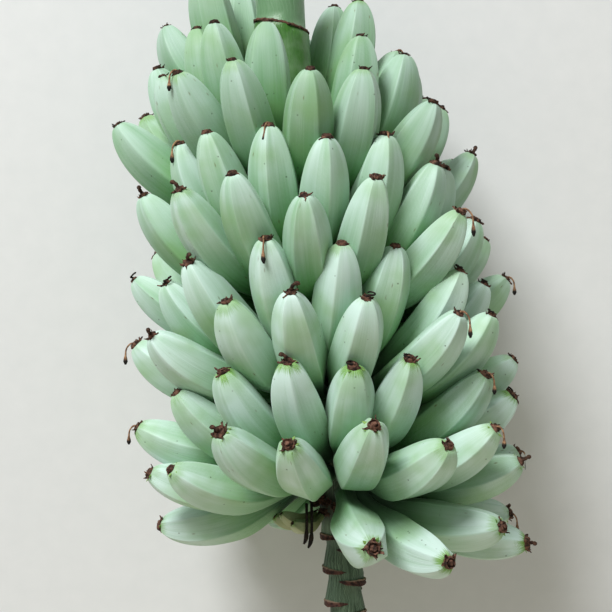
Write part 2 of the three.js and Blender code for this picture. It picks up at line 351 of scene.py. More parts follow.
def start(name, add, **sizes):
    """A new primitive, alone selected, in edit mode."""
    bpy.ops.object.select_all(action="DESELECT")
    add(**sizes)
    piece = bpy.context.object
    piece.name = name
    bpy.ops.object.transform_apply(location=True, rotation=True, scale=True)
    bpy.ops.object.mode_set(mode="EDIT")
    return piece


def take_all():
    bpy.ops.mesh.select_all(action="SELECT")


def rod(name, sides, **how):
    """An upright rod on the origin, one long and one in radius, in edit mode."""
    return start(name, bpy.ops.mesh.primitive_cylinder_add, vertices=sides, radius=1, depth=1,
                 location=(0, 0, 0.5), **how)


def done():
    bpy.ops.object.mode_set(mode="OBJECT")


def smooth_edges_under(degrees):
    bpy.ops.object.shade_smooth_by_angle(angle=math.radians(degrees))


def places(mesh):
    found = np.empty(3 * len(mesh.vertices))
    mesh.vertices.foreach_get("co", found)
    return found.reshape(-1, 3)


def place(mesh, points):
    mesh.vertices.foreach_set("co", points.ravel())
    mesh.update()


def note(mesh, name, values):
    """An attribute that a material reads: a number or a place for each vertex."""
    kind, part = ("FLOAT_VECTOR", "vector") if values.ndim > 1 else ("FLOAT", "value")
    mesh.attributes.new(name, kind, "POINT").data.foreach_set(part, values.ravel())


def is_long(edge):
    a, b = (v.co for v in edge.verts)
    return abs(a.z - b.z) > 1e-4


def is_across_a_side(edge):
    a, b = (v.co for v in edge.verts)
    return abs(a.z - b.z) < 1e-4 and (a - b).length > 0.5


def model_finger():
    """The straight finger: a five-sided rod with rounded ridges and full sides."""
    finger = rod("finger_form", SIDES, rotation=(0, 0, -math.pi / 2))
    pick(finger, "EDGE", is_long)
    bpy.ops.mesh.bevel(offset=RIDGE_WIDTH, segments=RIDGE_STEPS, profile=0.5)
    pick(finger, "EDGE", is_long)
    bpy.ops.mesh.subdivide(number_cuts=RINGS - 1)
    pick(finger, "EDGE", is_across_a_side)
    bpy.ops.mesh.subdivide(number_cuts=SIDE_CUTS)
    done()
    own = places(finger.data)
    s = SKIN_END * (1 - (1 - own[:, 2].clip(0, 1)) ** RING_POWER)
    wide = np.hypot(own[:, 0], own[:, 1])
    full = FULL_FOOT + (FULL_BELLY - FULL_FOOT) * smooth(s, *FULL_TURN)
    own[:, :2] *= ((wide + (1 - wide) * full) / wide)[:, None]
    own[:, 2] = s
    place(finger.data, own)
    note(finger.data, "own_place", own)
    bpy.ops.object.shade_smooth()
    return finger


def added(name, data):
    made = bpy.data.objects.new(name, data)
    bpy.context.collection.objects.link(made)
    return made


def copy_of(form, name, points):
    """A copy of a modelled form with a mesh of its own, its vertices at hanging places."""
    piece = added(name, form.data.copy())
    place(piece.data, laid(points))
    return piece


def joined(name, pieces):
    bpy.ops.object.select_all(action="DESELECT")
    for piece in pieces:
        piece.select_set(True)
    bpy.context.view_layer.objects.active = pieces[0]
    if len(pieces) > 1:
        bpy.ops.object.join()
    pieces[0].name = name
    return pieces[0]


def lay_finger(form, f, which):
    own = places(form.data)
    piece = copy_of(form, "finger", bent(f, own))
    note(piece.data, "which", np.full(len(own), float(which)))
    note(piece.data, "late", np.full(len(own), late(f)))
    return piece


# --- crowns

CROWN_ARC = 5.0  # degrees past the outer fingers
CROWN_SHARE = 0.24  # of a finger's width, over and under the feet
CROWN_LIP = 3.0
CROWN_INNER = 0.6  # of the stalk's radius
CROWN_SQUARE = 0.85  # how round its section is: 1 is a true oval
CROWN_STEP = 4.0  # degrees
CROWN_ROUND = 12.0  # degrees of each end that are drawn in
CROWN_END = 0.3
CROWN_SIDES = 14


def crown_of(fingers):
    """The cushion that joins neighbouring feet to the stalk: a rounded section spun round it."""
    angles = [f.angle for f in fingers]
    heights = [f.foot[2] for f in fingers]
    rise = fingers[0].width * CROWN_SHARE
    low, high = min(heights) - rise, max(heights) + rise
    middle = (low + high) / 2
    radius = stalk_radius(low)
    reach = radius + fingers[0].crown + CROWN_LIP
    inner = CROWN_INNER * radius
    begin = min(angles) - math.radians(CROWN_ARC)
    arc = max(angles) + math.radians(CROWN_ARC) - begin
    crown = start("crown", bpy.ops.mesh.primitive_circle_add, vertices=CROWN_SIDES, radius=1,
                  fill_type="NOTHING", rotation=(math.pi / 2, 0, -math.pi / 2))
    done()
    x, y, z = places(crown.data).T
    square = np.abs(np.stack([y, z])) ** CROWN_SQUARE * np.sign([y, z])
    out = (inner + reach) / 2 + (reach - inner) / 2 * square[0]
    up = middle + (high - low) / 2 * square[1]
    centre = stalk_x(middle)
    place(crown.data, np.stack([centre + out * math.sin(begin), -out * math.cos(begin), up], 1))
    bpy.ops.object.mode_set(mode="EDIT")
    take_all()
    steps = max(2, math.ceil(math.degrees(arc) / CROWN_STEP))
    bpy.ops.mesh.spin(steps=steps, angle=arc, center=(centre, 0, middle), axis=(0, 0, 1))
    take_all()
    bpy.ops.mesh.remove_doubles(threshold=1e-4)
    bpy.ops.mesh.select_mode(type="EDGE")
    bpy.ops.mesh.select_all(action="DESELECT")
    bpy.ops.mesh.select_non_manifold()
    bpy.ops.mesh.fill_holes(sides=0)
    take_all()
    bpy.ops.mesh.normals_make_consistent(inside=False)
    done()
    smooth_edges_under(50)
    x, y, z = places(crown.data).T
    turn = (np.arctan2(x - centre, -y) - begin) % (2 * math.pi)
    turn = np.where(turn > arc + 0.1, turn - 2 * math.pi, turn)
    from_end = np.degrees(np.minimum(turn, arc - turn)).clip(0, CROWN_ROUND) / CROWN_ROUND
    kept = CROWN_END + (1 - CROWN_END) * np.sqrt(1 - (1 - from_end) ** 2)
    away = np.hypot(x - centre, y)
    drawn = (inner + (away - inner) * kept) / away
    place(crown.data, laid(np.stack([
        centre + (x - centre) * drawn, y * drawn, middle + (z - middle) * kept], 1)))
    return crown


# --- dried flowers

FLOWER_RADIUS = 5.9
FLOWER_DEPTH = 3.6
FLOWER_SIZES = (0.72, 0.94)  # in the first hand and in the last
FLOWER_SIDES = 12
FLOWER_KINDS = 6
FLOWER_SINK = 1.4  # millimetres of it inside the skin's neck
FLOWER_SPREAD = 0.16
FLOWER_LEAN = 0.3
FLOWER_STEPS = ((0.9, 2.2), (1.1, -2.4), (1.5, 2.8))  # shoulder, cup and knob
TEPALS = ((1.5, 0.55, 1.6), (1.9, 0.3, 2.3))  # each bend's length, narrowing and rise
TEPAL_LUCK = 0.15  # a side of the flower whose number is over this has a tepal
CURL_LIFT = 0.35
CURL_SHRINK = 0.25
CRUMPLE = 0.75


def model_flower(kind):
    """What a dried flower leaves on a tip: a crumpled cup with a knob in it and curled tepals."""
    flower = start("flower_form", bpy.ops.mesh.primitive_cylinder_add, vertices=FLOWER_SIDES,
                   radius=FLOWER_RADIUS, depth=FLOWER_DEPTH, location=(0, 0, FLOWER_DEPTH / 2))
    pick(flower, "FACE", lambda face: face.normal.z > 0.5)
    for inward, rise in FLOWER_STEPS:
        bpy.ops.mesh.inset(thickness=inward, depth=rise)
    pick(flower, "FACE", lambda face: is_tepal_root(face, kind))
    for bend, (length, narrow, rise) in enumerate(TEPALS):
        bpy.ops.mesh.extrude_faces_move(TRANSFORM_OT_shrink_fatten={"value": length})
        curl_selected(flower, kind, bend, narrow, rise)
    take_all()
    bpy.ops.mesh.subdivide(number_cuts=1, smoothness=0.5)
    bpy.ops.transform.vertex_random(offset=CRUMPLE, uniform=0, normal=0, seed=kind + 3)
    bpy.ops.mesh.normals_make_consistent(inside=False)
    done()
    smooth_edges_under(35)
    return flower


def is_tepal_root(face, kind):
    at = face.calc_center_median()
    number = round(math.atan2(at.y, at.x) * FLOWER_SIDES / (2 * math.pi) - 0.5)
    return abs(face.normal.z) < 0.5 and at.xy.length > 0.9 * FLOWER_RADIUS and (
        spread(kind, number, 6, 2) > TEPAL_LUCK)


def curl_selected(flower, kind, bend, narrow, rise):
    """Draws each selected face in towards a point and curls it up, down or aside."""
    mesh = bmesh.from_edit_mesh(flower.data)
    for k, face in enumerate([f for f in mesh.faces if f.select]):
        centre = face.calc_center_median()
        aside = centre.cross(Vector((0, 0, 1))).normalized() * rise * spread(kind, k, bend, 2)
        lift = Vector((0, 0, rise * (CURL_LIFT + spread(kind, k, 5, 1))))
        shrink = centre * (CURL_SHRINK * spread(kind, k, bend, 3))
        for v in face.verts:
            v.co = centre + narrow * (v.co - centre) + lift + aside + shrink
    bmesh.update_edit_mesh(flower.data)


# Twigs: dead styles and threads, and the points that stand round a flower.
TWIG_SIDES = 7
TWIG_RINGS = 18
TWIG_STEPS = 60
NO_TWIG_WAY = [0.3, 0.9, 0.1]  # no twig runs this way, so its sides are square to it


def model_twig(name, radii):
    """A thin round stick one long, as thick as the radii along it say, in millimetres."""
    twig = rod(name, TWIG_SIDES)
    pick(twig, "EDGE", is_long)
    bpy.ops.mesh.subdivide(number_cuts=TWIG_RINGS)
    done()
    own = places(twig.data)
    r = np.interp(own[:, 2], np.linspace(0, 1, len(radii)), radii)
    own[:, :2] *= r[:, None]
    place(twig.data, own)
    note(twig.data, "own_place", own)
    bpy.ops.object.shade_smooth()
    return twig


def between(x, knots, rows):
    """Values of a table of rows, evenly between its knots."""
    return np.stack([np.interp(x, knots, column) for column in np.array(rows, float).T], 1)


def bent_twig(form, begin, ways, length):
    """Hanging places of a twig that leaves a point and turns through the given ways."""
    own = places(form.data)
    steps = np.linspace(0, 1, TWIG_STEPS)
    way = between(steps, np.linspace(0, 1, len(ways)), ways)
    way /= np.linalg.norm(way, axis=1)[:, None]
    gone = np.concatenate([[[0, 0, 0]], np.cumsum(way, 0)[:-1]])
    path = np.array(begin) + gone * length / (TWIG_STEPS - 1)
    way_at = between(own[:, 2], steps, way)
    side = np.cross(way_at, NO_TWIG_WAY)
    side /= np.linalg.norm(side, axis=1)[:, None]
    other = np.cross(way_at, side)
    return between(own[:, 2], steps, path) + own[:, :1] * side + own[:, 1:2] * other


def tip_frame(f):
    """At a finger's end: where its skin stops, the way along it, and two ways across."""
    along = along_finger(f, np.array([1.0]))[0]
    side = f.sideways()
    return f.centre(np.array([SKIN_END]))[0], along, side, -np.cross(side, along)


def flower_on(f, forms):
    """The dried flower at the end of a finger, turned any way round."""
    kind = int(FLOWER_KINDS * (0.5 + 0.499 * spread(*f.key, 12)))
    form = forms[kind]
    own = places(form.data)
    base, along, side, up = tip_frame(f)
    turn = math.pi * spread(*f.key, 13)
    size = f.width / FINGER_WIDTH * late(f, *FLOWER_SIZES) * (
        1 + FLOWER_SPREAD * spread(*f.key, 14))
    first = math.cos(turn) * side + math.sin(turn) * up
    second = np.cross(along, first)
    axis = along + FLOWER_LEAN * spread(*f.key, 15) * first
    points = base - FLOWER_SINK * along + size * (
        own[:, :1] * first + own[:, 1:2] * second + own[:, 2:] * axis)
    return copy_of(form, "flower", points)


SEPALS = 5
SEPAL_FLAT = 0.35
SEPAL_LUCK = -0.1
SEPAL_LENGTH = (6.5, 1.5)  # here and below: the middle value, and how far it strays
SEPAL_RISE = (0.1, 0.25)
SEPAL_STRAY = 0.3  # of the way to the next one
SEPAL_SINK = 1.2
SEPAL_OUT = 3.6


def sepals_on(f, form):
    """Small green points that stand round the flower of a lower finger."""
    base, along, side, up = tip_frame(f)
    made = []
    for k in range(SEPALS):
        if spread(*f.key, 20 + k) < SEPAL_LUCK:
            continue
        turn = 2 * math.pi * (k + SEPAL_STRAY * spread(*f.key, 30 + k)) / SEPALS
        out = math.cos(turn) * side + math.sin(turn) * up
        across = np.cross(along, out)
        own = places(form.data)
        length = strayed(SEPAL_LENGTH, *f.key, 40 + k)
        way = out + strayed(SEPAL_RISE, *f.key, 50 + k) * along
        begin = base - SEPAL_SINK * along + SEPAL_OUT * out
        points = begin + own[:, :1] * across + SEPAL_FLAT * own[:, 1:2] * along
        made.append(copy_of(form, "sepal", points + length * own[:, 2:] * way))
    return made


# What hangs on a flower: the least number of a finger that keeps it, its length, and its stray.
DRY_ENDS = {"style": (0.66, 29, 6), "stub": (0.4, 13, 3), "tendril": (0.15, 20, 5)}
DRY_END_RISE = 1.5  # over the skin's end


def dry_end_on(f, forms):
    """A dry style that still hangs from the flower, its thick stub, a curled thread, or nothing."""
    luck = spread(*f.key, 16)
    kind = next((kind for kind, (least, *_) in DRY_ENDS.items() if luck > least), None)
    if kind is None:
        return []
    base, along, side, up = tip_frame(f)
    out, down = f.outward(), np.array([0, 0, -1.0])
    lean = spread(*f.key, 17)
    hand_of = math.copysign(1, lean)
    ways = {
        "style": [along + 0.6 * out, 0.9 * out + down + 0.5 * lean * side, down + 0.1 * out, down,
                  down + 0.3 * lean * side],
        "stub": [along + 0.3 * lean * side, along + lean * side + 0.2 * out,
                 0.5 * along + hand_of * side, hand_of * side + down],
        "tendril": [along + 0.3 * side, hand_of * side + 0.5 * out, hand_of * side + 0.2 * up,
                    0.3 * hand_of * side + up, up - hand_of * side, -hand_of * side, -up],
    }[kind]
    _, length, stray = DRY_ENDS[kind]
    points = bent_twig(forms[kind], base + DRY_END_RISE * along, ways, length + stray * lean)
    return [copy_of(forms[kind], kind, points)]


# --- the stalk

WAIST = 5.0
WAIST_FROM = -200.0
WAIST_TO = -236.0
SCAR_STEP = 3.0  # a lip's height under its edge
SCAR_FLARE = 24.0  # and over it
COLLAR = 292.0
COLLAR_SLANT = 6.0
STALK_SIDES = 72
STALK_RINGS = 260
STALK_RIM = 0.06  # of the cut's radius
CUT_RING = 0.4
RIBS = (31, 47)
RIB_DEPTH = 0.22
RIB_SLANT = 0.01  # radians to the millimetre
RIB_FADE = (-180, 100)  # heights between which the ribs fade out


def skin_radius(z, angle):
    """The stalk's skin at heights and angles round it: taper, waist, collar and scars' lips."""
    lips = np.zeros_like(z)
    for k in range(SCARS):
        facing = math.radians(SCAR_FACING + SCAR_TURN * k)
        away = np.arccos(np.cos(angle - facing)) / math.radians(SCAR_ARC)
        over = z - (SCAR_TOP - SCAR_PITCH * k)
        fall = np.where(over < 0, 1 + over / SCAR_STEP, 1 - over / SCAR_FLARE)
        lips = np.maximum(lips, SCAR_LIP * (1 - away ** 2).clip(0) * fall.clip(0))
    waist = WAIST * (1 - smooth(z, WAIST_TO, WAIST_FROM))
    collar = COLLAR_STEP * smooth(z, collar_height(angle), collar_height(angle) + 1)
    return stalk_radius(z) - waist - collar + lips


def collar_height(angle):
    """The collar runs round a little aslant: lower on the right."""
    return COLLAR - COLLAR_SLANT * np.sin(angle)


def model_stalk():
    stalk = rod("main_stalk", STALK_SIDES)
    pick(stalk, "EDGE", is_long)
    bpy.ops.mesh.subdivide(number_cuts=STALK_RINGS)
    pick(stalk, "FACE", lambda face: abs(face.normal.z) > 0.5)
    bpy.ops.mesh.inset(thickness=STALK_RIM, depth=0)
    bpy.ops.mesh.inset(thickness=CUT_RING, depth=0)
    pick(stalk, "FACE", lambda face: abs(face.normal.z) > 0.5)
    stalk.data.materials.append(stalk_skin())
    stalk.data.materials.append(cut_face())
    stalk.active_material_index = 1
    bpy.ops.object.material_slot_assign()
    done()
    x, y, share = places(stalk.data).T
    z = STALK_BOTTOM + (STALK_TOP - STALK_BOTTOM) * share
    angle = np.arctan2(x, -y)
    ribs = np.sin(RIBS[0] * angle + RIB_SLANT * z) + np.sin(RIBS[1] * angle) - 1
    faded = RIB_DEPTH * (1 - smooth(z, *RIB_FADE))
    r = np.hypot(x, y) * (skin_radius(z, angle) + ribs * faded)
    place(stalk.data, laid(round_stalk(z, angle, r)))
    note(stalk.data, "own_place", np.stack([r * np.sin(angle), z, r * np.cos(angle)], 1))
    smooth_edges_under(40)
    return stalk


SCAR_LENGTH = 150.0  # degrees of the stalk's round
SCAR_HEIGHT = 3.5
SCAR_STAND = 1.9
SCAR_HOLLOW = 0.5  # how deep the torn face lies
SCAR_SINK = 0.4
SCAR_DROP = 1.1  # from the lip's edge down to the scar's middle
SCAR_WAVE = 0.8
SCAR_POINT = 0.35


def model_scar():
    """A corky lens with a torn, hollowed face, one long, high and thick each way."""
    scar = start("bract_scar_form", bpy.ops.mesh.primitive_uv_sphere_add, segments=24,
                 ring_count=14, radius=1, rotation=(0, math.pi / 2, 0))
    pick(scar, "FACE", lambda face: face.normal.y > 0.55 and abs(face.normal.x) < 0.75)
    bpy.ops.mesh.inset(thickness=0.1, depth=0)
    bpy.ops.mesh.inset(thickness=0.06, depth=-SCAR_HOLLOW)
    take_all()
    bpy.ops.mesh.subdivide(number_cuts=1, smoothness=0.2)
    bpy.ops.transform.vertex_random(offset=0.05, uniform=0, normal=0, seed=4)
    bpy.ops.mesh.normals_make_consistent(inside=False)
    done()
    return scar


def model_scars():
    """One lens under each lip of the stalk, lying along the lip's edge."""
    form = model_scar()
    scars = []
    for k in range(SCARS):
        x, y, z = places(form.data).T
        angle = math.radians(SCAR_FACING + SCAR_TURN * k) + math.radians(SCAR_LENGTH / 2) * x
        rough = 0.1 * np.sin(9 * x + 2.1 * k) + 0.06 * np.sin(23 * x + k)
        level = SCAR_TOP - SCAR_PITCH * k
        thick = SCAR_HEIGHT * (1 - x ** 2).clip(0) ** SCAR_POINT
        high = level - SCAR_DROP + thick * z * (1 + rough) + SCAR_WAVE * np.sin(2 * x + k)
        r = skin_radius(np.full_like(x, level), angle) - SCAR_SINK + SCAR_STAND * y * (1 + rough)
        scars.append(copy_of(form, "bract_scar", round_stalk(high, angle, r)))
        note(scars[-1].data, "own_place", np.stack([x, y, z], 1))
    bpy.data.objects.remove(form)
    return joined("bract_scars", scars)


RIM_ROUND = 0.1  # of the modelled ring, whose own radius is one
RIM_THICK = 11  # these two are for one radius of the ring
RIM_HEIGHT = 16
RIM_SINK = 0.9
RIM_RISE = 0.8


def model_collar():
    """The dry rim that is left of a sheath where the stalk's thick part ends."""
    collar = start("collar_rim", bpy.ops.mesh.primitive_torus_add, major_radius=1,
                   minor_radius=RIM_ROUND, major_segments=120, minor_segments=8)
    done()
    x, y, z = places(collar.data).T
    angle = np.arctan2(x, -y)
    high = collar_height(angle)
    ragged = 0.25 * np.sin(17 * angle) + 0.2 * np.sin(41 * angle + 1)
    r = stalk_radius(high) - RIM_SINK + RIM_THICK * (np.hypot(x, y) - 1) + ragged
    high = high + RIM_RISE + RIM_HEIGHT * z + ragged
    place(collar.data, laid(round_stalk(high, angle, r)))
    bpy.ops.object.shade_smooth()
    return collar


STRANDS = ((5.5, -36, -199, 51), (0.5, -39, -202, 43))  # right, back, height and length
STRAND_WAYS = [(0.05, -1.6, -1), (0, -0.5, -1), (0.03, 0, -1), (-0.03, 0.1, -1), (-0.1, 0.1, -1),
               (-0.6, 0, -1)]
CRUMBS = 30
CRUMB_SIZES = (0.5, 0.25)  # here and below: the middle value, and how far it strays
CRUMB_TURN = (-30, 75)
CRUMB_HEIGHT = (-206, 11)
CRUMB_OFF = (2.75, 1.75)


def model_strands(form):
    """Blackened dry threads that hang beside the stalk under the last hand."""
    strands = [copy_of(form, "strand", bent_twig(form, begin, STRAND_WAYS, length))
               for *begin, length in STRANDS]
    return joined("dry_strands", strands)


def model_crumbs(forms):
    """Brown crumbs of dead bracts caught on the stalk under the last hand."""
    crumbs = []
    for k in range(CRUMBS):
        form = forms[k % len(forms)]
        own = places(form.data)
        turn = math.radians(strayed(CRUMB_TURN, k, 1, 7, 2))
        high = strayed(CRUMB_HEIGHT, k, 2, 7, 2)
        r = stalk_radius(high) + strayed(CRUMB_OFF, k, 3, 7, 2)
        at = round_stalk(high, turn, r)
        size = strayed(CRUMB_SIZES, k, 4, 7, 2)
        lean = math.pi * spread(k, 5, 7, 2)
        one = np.array([math.cos(lean), 0, math.sin(lean)])
        two = np.array([math.sin(turn), -math.cos(turn), 0])
        points = at + size * (own[:, :1] * one + own[:, 1:2] * np.cross(two, one)
                              + own[:, 2:] * two)
        crumbs.append(copy_of(form, "crumb", points))
    return joined("dry_crumbs", crumbs)


# --- finishes

def colour(red, green, blue):
    """A linear colour from 8-bit display values."""
    parts = [v / 255 for v in (red, green, blue)]
    return tuple(v / 12.92 if v <= 0.04045 else ((v + 0.055) / 1.055) ** 2.4
                 for v in parts) + (1.0,)


class Nodes:
    """Builds a node tree: most calls add a node and hand back its output."""

    def __init__(self, tree):
        self.tree = tree

    def feed(self, node, inputs):
        for key, value in inputs.items():
            if isinstance(value, bpy.types.NodeSocket):
                self.tree.links.new(value, node.inputs[key])
            else:
                node.inputs[key].default_value = value

    def add(self, kind, inputs, out=0, **settings):
        node = self.tree.nodes.new(kind)
        for key, value in settings.items():
            setattr(node, key, value)
        self.feed(node, inputs)
        return node.outputs[out]

    def grouped(self, tree, **inputs):
        """Places a group and hands back all its outputs, by name."""
        made = self.add("ShaderNodeGroup", inputs, node_tree=tree)
        return {out.name: out for out in made.node.outputs}

    def math(self, operation, a, b=0.0, clamp=False):
        return self.add("ShaderNodeMath", {0: a, 1: b}, operation=operation, use_clamp=clamp)

    def plus(self, a, b):
        return self.math("ADD", a, b)

    def times(self, a, b):
        return self.math("MULTIPLY", a, b)

    def sway(self, value, by, amount, middle=0.5, clamp=False):
        """A value moved by an amount of how far another one is from its middle."""
        return self.math("ADD", value, self.times(self.math("SUBTRACT", by, middle), amount), clamp)

    def ramp(self, value, low, high, to_low=0.0, to_high=1.0):
        return self.add("ShaderNodeMapRange", {
            "Value": value, "From Min": low, "From Max": high, "To Min": to_low,
            "To Max": to_high}, interpolation_type="SMOOTHSTEP")

    def mix(self, share, a, b):
        return self.add("ShaderNodeMix", {0: share, 6: a, 7: b}, out=2, data_type="RGBA")

    def noise(self, vector, scale, detail=3.0, roughness=0.55):
        return self.add("ShaderNodeTexNoise", {
            "Vector": vector, "Scale": scale, "Detail": detail, "Roughness": roughness})

    def cells(self, vector, scale):
        """The distance to the nearest of many scattered points."""
        return self.add("ShaderNodeTexVoronoi", {"Vector": vector, "Scale": scale})

    def chance(self, number):
        return self.add("ShaderNodeTexWhiteNoise", {"W": number}, noise_dimensions="1D")

    def split(self, vector):
        return self.add("ShaderNodeSeparateXYZ", {0: vector}).node.outputs

    def moved(self, vector, by):
        return self.add("ShaderNodeVectorMath", {0: vector, 1: by}, operation="ADD")

    def stretched(self, vector, scale):
        return self.add("ShaderNodeMapping", {"Vector": vector, "Scale": scale})

    def attribute(self, name, out):
        return self.add("ShaderNodeAttribute", {}, out, attribute_name=name)

    def object_place(self):
        return self.add("ShaderNodeTexCoord", {}, 3)

    def clouds(self, scale, detail=3.0):
        return self.noise(self.object_place(), scale, detail)


def group(name, fill, outputs, **inputs):
    """A node group of masks; fill gets its nodes and its inputs, and returns its outputs."""
    tree = bpy.data.node_groups.new(name, "ShaderNodeTree")
    for label, kind in inputs.items():
        tree.interface.new_socket(label, in_out="INPUT", socket_type="NodeSocket" + kind)
    for label in outputs:
        tree.interface.new_socket(label, in_out="OUTPUT", socket_type="NodeSocketFloat")
    source = tree.nodes.new("NodeGroupInput")
    found = fill(Nodes(tree), source.outputs)
    sink = tree.nodes.new("NodeGroupOutput")
    for label, value in zip(outputs, found):
        tree.links.new(value, sink.inputs[label])
    return tree


def fill_sides(n, given):
    """Masks of a finger's ridges, and a number for each flat side, from its own places."""
    x, y, _ = n.split(given["Own"])
    turn = n.math("DIVIDE", n.math("ARCTAN2", y, x), 2 * math.pi / SIDES)
    ridge = n.ramp(n.math("PINGPONG", turn, 0.5), given["Width"], 0.0)
    side = n.plus(n.math("FLOOR", turn), n.times(given["Which"], 7.31))
    return ridge, n.chance(side)


def fill_streaks(n, given):
    """Fine streaks along a surface whose Z runs its length, and broad clouds."""
    moved = n.moved(given["Own"], given["Shift"])
    long = n.stretched(moved, (1.0, 1.0, 0.16))
    fine = n.noise(long, given["Fineness"], detail=4.0, roughness=0.6)
    return fine, n.noise(moved, 1.6, detail=2.0)


def fill_specks(n, given):
    """Small round marks on a few of a surface's cells."""
    spots = n.cells(given["Vector"], given["Scale"])
    number = n.add("ShaderNodeSeparateColor", {0: spots.node.outputs[1]})
    few = n.math("GREATER_THAN", number, given["Rarity"])
    return [n.times(n.ramp(spots, given["Size"], 0.0), few)]


FINGER_SIDES = group("finger_sides", fill_sides, ["Ridge", "Side"], Own="Vector", Which="Float",
                     Width="Float")
STREAKS = group("streaks_along", fill_streaks, ["Fine", "Broad"], Own="Vector", Shift="Vector",
                Fineness="Float")
SPECKS = group("small_marks", fill_specks, ["Mark"], Vector="Vector", Scale="Float",
               Size="Float", Rarity="Float")


def material(name, specular):
    """A new material with a plain Principled shader; returns it with its nodes and shader."""
    made = bpy.data.materials.new(name)
    made.use_nodes = True
    shader = made.node_tree.nodes["Principled BSDF"]
    shader.inputs["Specular IOR Level"].default_value = specular
    return made, Nodes(made.node_tree), shader


def finish(n, shader, base, roughness, height, depth):
    """Feeds a material's shader."""
    bump = n.add("ShaderNodeBump", {"Height": height, "Distance": depth, "Strength": 1.0})
    n.feed(shader, {"Base Color": base, "Roughness": roughness, "Normal": bump})


MARK_BROWN = colour(60, 62, 42)
SCRATCH_BROWN = colour(104, 92, 56)
BARE_GREEN = colour(112, 158, 66)
# The colour of the painted shade that is laid over the first and last hands.
SHADE_GREEN = colour(66, 84, 72)


def bloom_on(n, share, streaks, side, late_by, luck):
    """How much waxy bloom lies on the skin: little near the foot, and uneven elsewhere; less on the
    first hands and more on the last, which paints shade on the upper hands and light on the lower
    ones.
    """
    wax = n.times(n.ramp(share, 0.3, 0.92, 0.06, 0.86),
                  n.ramp(streaks["Broad"], 0.3, 0.7, 0.75, 1.2))
    wax = n.plus(wax, n.times(side["Ridge"], 0.07))
    wax = n.sway(wax, side["Side"], 0.22)
    # Painted light: the later hands get more bloom, so the lower hands come out brighter.
    wax = n.plus(wax, n.ramp(late_by, 0.0, 1.0, -0.12, 0.08))
    wax = n.sway(wax, luck, 0.2)
    wax = n.sway(wax, streaks["Fine"], 0.34, clamp=True)
    # Painted shade: the first hands' bloom is cut back, so the upper hands come out darker.
    return n.times(wax, n.ramp(late_by, 0.0, 0.9, 0.8, 0.97))


def bare_neck(n, share, streaks, side, late_by, luck):
    """Where the bloom has gone round the flower: on some fingers, and most of the last hands'."""
    tip = n.plus(share, n.times(streaks["Fine"], 0.1))
    tip = n.sway(tip, side["Side"], 0.05, middle=0.6)
    last = n.times(n.ramp(late_by, 0.65, 0.75), n.ramp(luck, 0.3, 0.6, 0.4, 0.95))
    likely = n.math("MAXIMUM", n.ramp(luck, 0.7, 0.9, 0.0, 0.6), last)
    return n.times(n.ramp(tip, 0.963, 1.005), likely)


def waxy_skin(name, foot_green_and_shade, green, bloom, rubbed, ridge_width):
    """Green skin under a pale waxy bloom that is thick on the ridges and thin near the foot, and
    painted shade at the foot and on the first and last hands.
    """
    made, n, shader = material(name, 0.28)
    n.feed(shader, {"Sheen Weight": 0.12, "Sheen Roughness": 0.35,
                    "Sheen Tint": (0.86, 1.0, 0.92, 1.0)})
    own = n.attribute("own_place", 1)
    which = n.attribute("which", 2)
    late_by = n.attribute("late", 2)
    luck = n.chance(which)
    share = n.split(own)[2]
    shift = n.add("ShaderNodeCombineXYZ", {0: n.times(which, 3.7), 2: which})
    side = n.grouped(FINGER_SIDES, Own=own, Which=which, Width=ridge_width)
    streaks = n.grouped(STREAKS, Own=own, Shift=shift, Fineness=13.0)
    foot_to_tip = n.plus(share, n.times(streaks["Broad"], 0.22))
    # Deeper green towards the foot: the foot's own greener skin, and painted shade where the
    # fingers crowd together.
    skin = n.mix(n.ramp(foot_to_tip, 0.16, 0.62), foot_green_and_shade, green)
    skin = n.mix(bloom_on(n, share, streaks, side, late_by, luck), skin, bloom)
    patch = n.ramp(n.clouds(20.0, 2.0), 0.42, 0.75, 0.0, 0.55)
    skin = n.mix(n.times(patch, n.ramp(share, 0.3, 0.5)), skin, rubbed)
    # Painted shade: the first hands and the last ones are darkened towards a shaded grey-green.
    painted_shade = n.math("MAXIMUM", n.ramp(late_by, 0.0, 0.5, 0.2, 0.0),
                  n.ramp(late_by, 0.8, 1.0, 0.0, 0.12))
    skin = n.mix(painted_shade, skin, SHADE_GREEN)
    skin = n.mix(bare_neck(n, share, streaks, side, late_by, luck), skin, BARE_GREEN)
    marks = n.grouped(SPECKS, Vector=n.object_place(), Scale=95.0, Size=0.12, Rarity=0.52)
    skin = n.mix(n.times(marks["Mark"], 0.8), skin, MARK_BROWN)
    scratch = n.grouped(SPECKS, Vector=n.stretched(n.moved(own, shift), (1.0, 1.0, 2.6)),
                        Scale=3.0, Size=0.15, Rarity=0.74)
    skin = n.mix(n.times(scratch["Mark"], 0.8), skin, SCRATCH_BROWN)
    relief = n.plus(streaks["Fine"], n.times(marks["Mark"], -0.8))
    finish(n, shader, skin, n.ramp(streaks["Fine"], 0.3, 0.7, 0.42, 0.6), relief, 0.00035)
    return made


def fill_striations(n, given):
    """Fine pale lines that run down a stalk, by the angle round its own leaning axis."""
    x, y, z = n.split(given["Own"])
    turn = n.sway(n.math("ARCTAN2", x, z), n.noise(given["Own"], 0.06), 0.5)
    lines = n.add("ShaderNodeCombineXYZ", {0: n.times(turn, given["Count"]), 1: n.times(y, 0.02)})
    return [n.noise(lines, 1.0, detail=2.0, roughness=0.7)]


STRIATIONS = group("stalk_striations", fill_striations, ["Line"], Own="Vector", Count="Float")


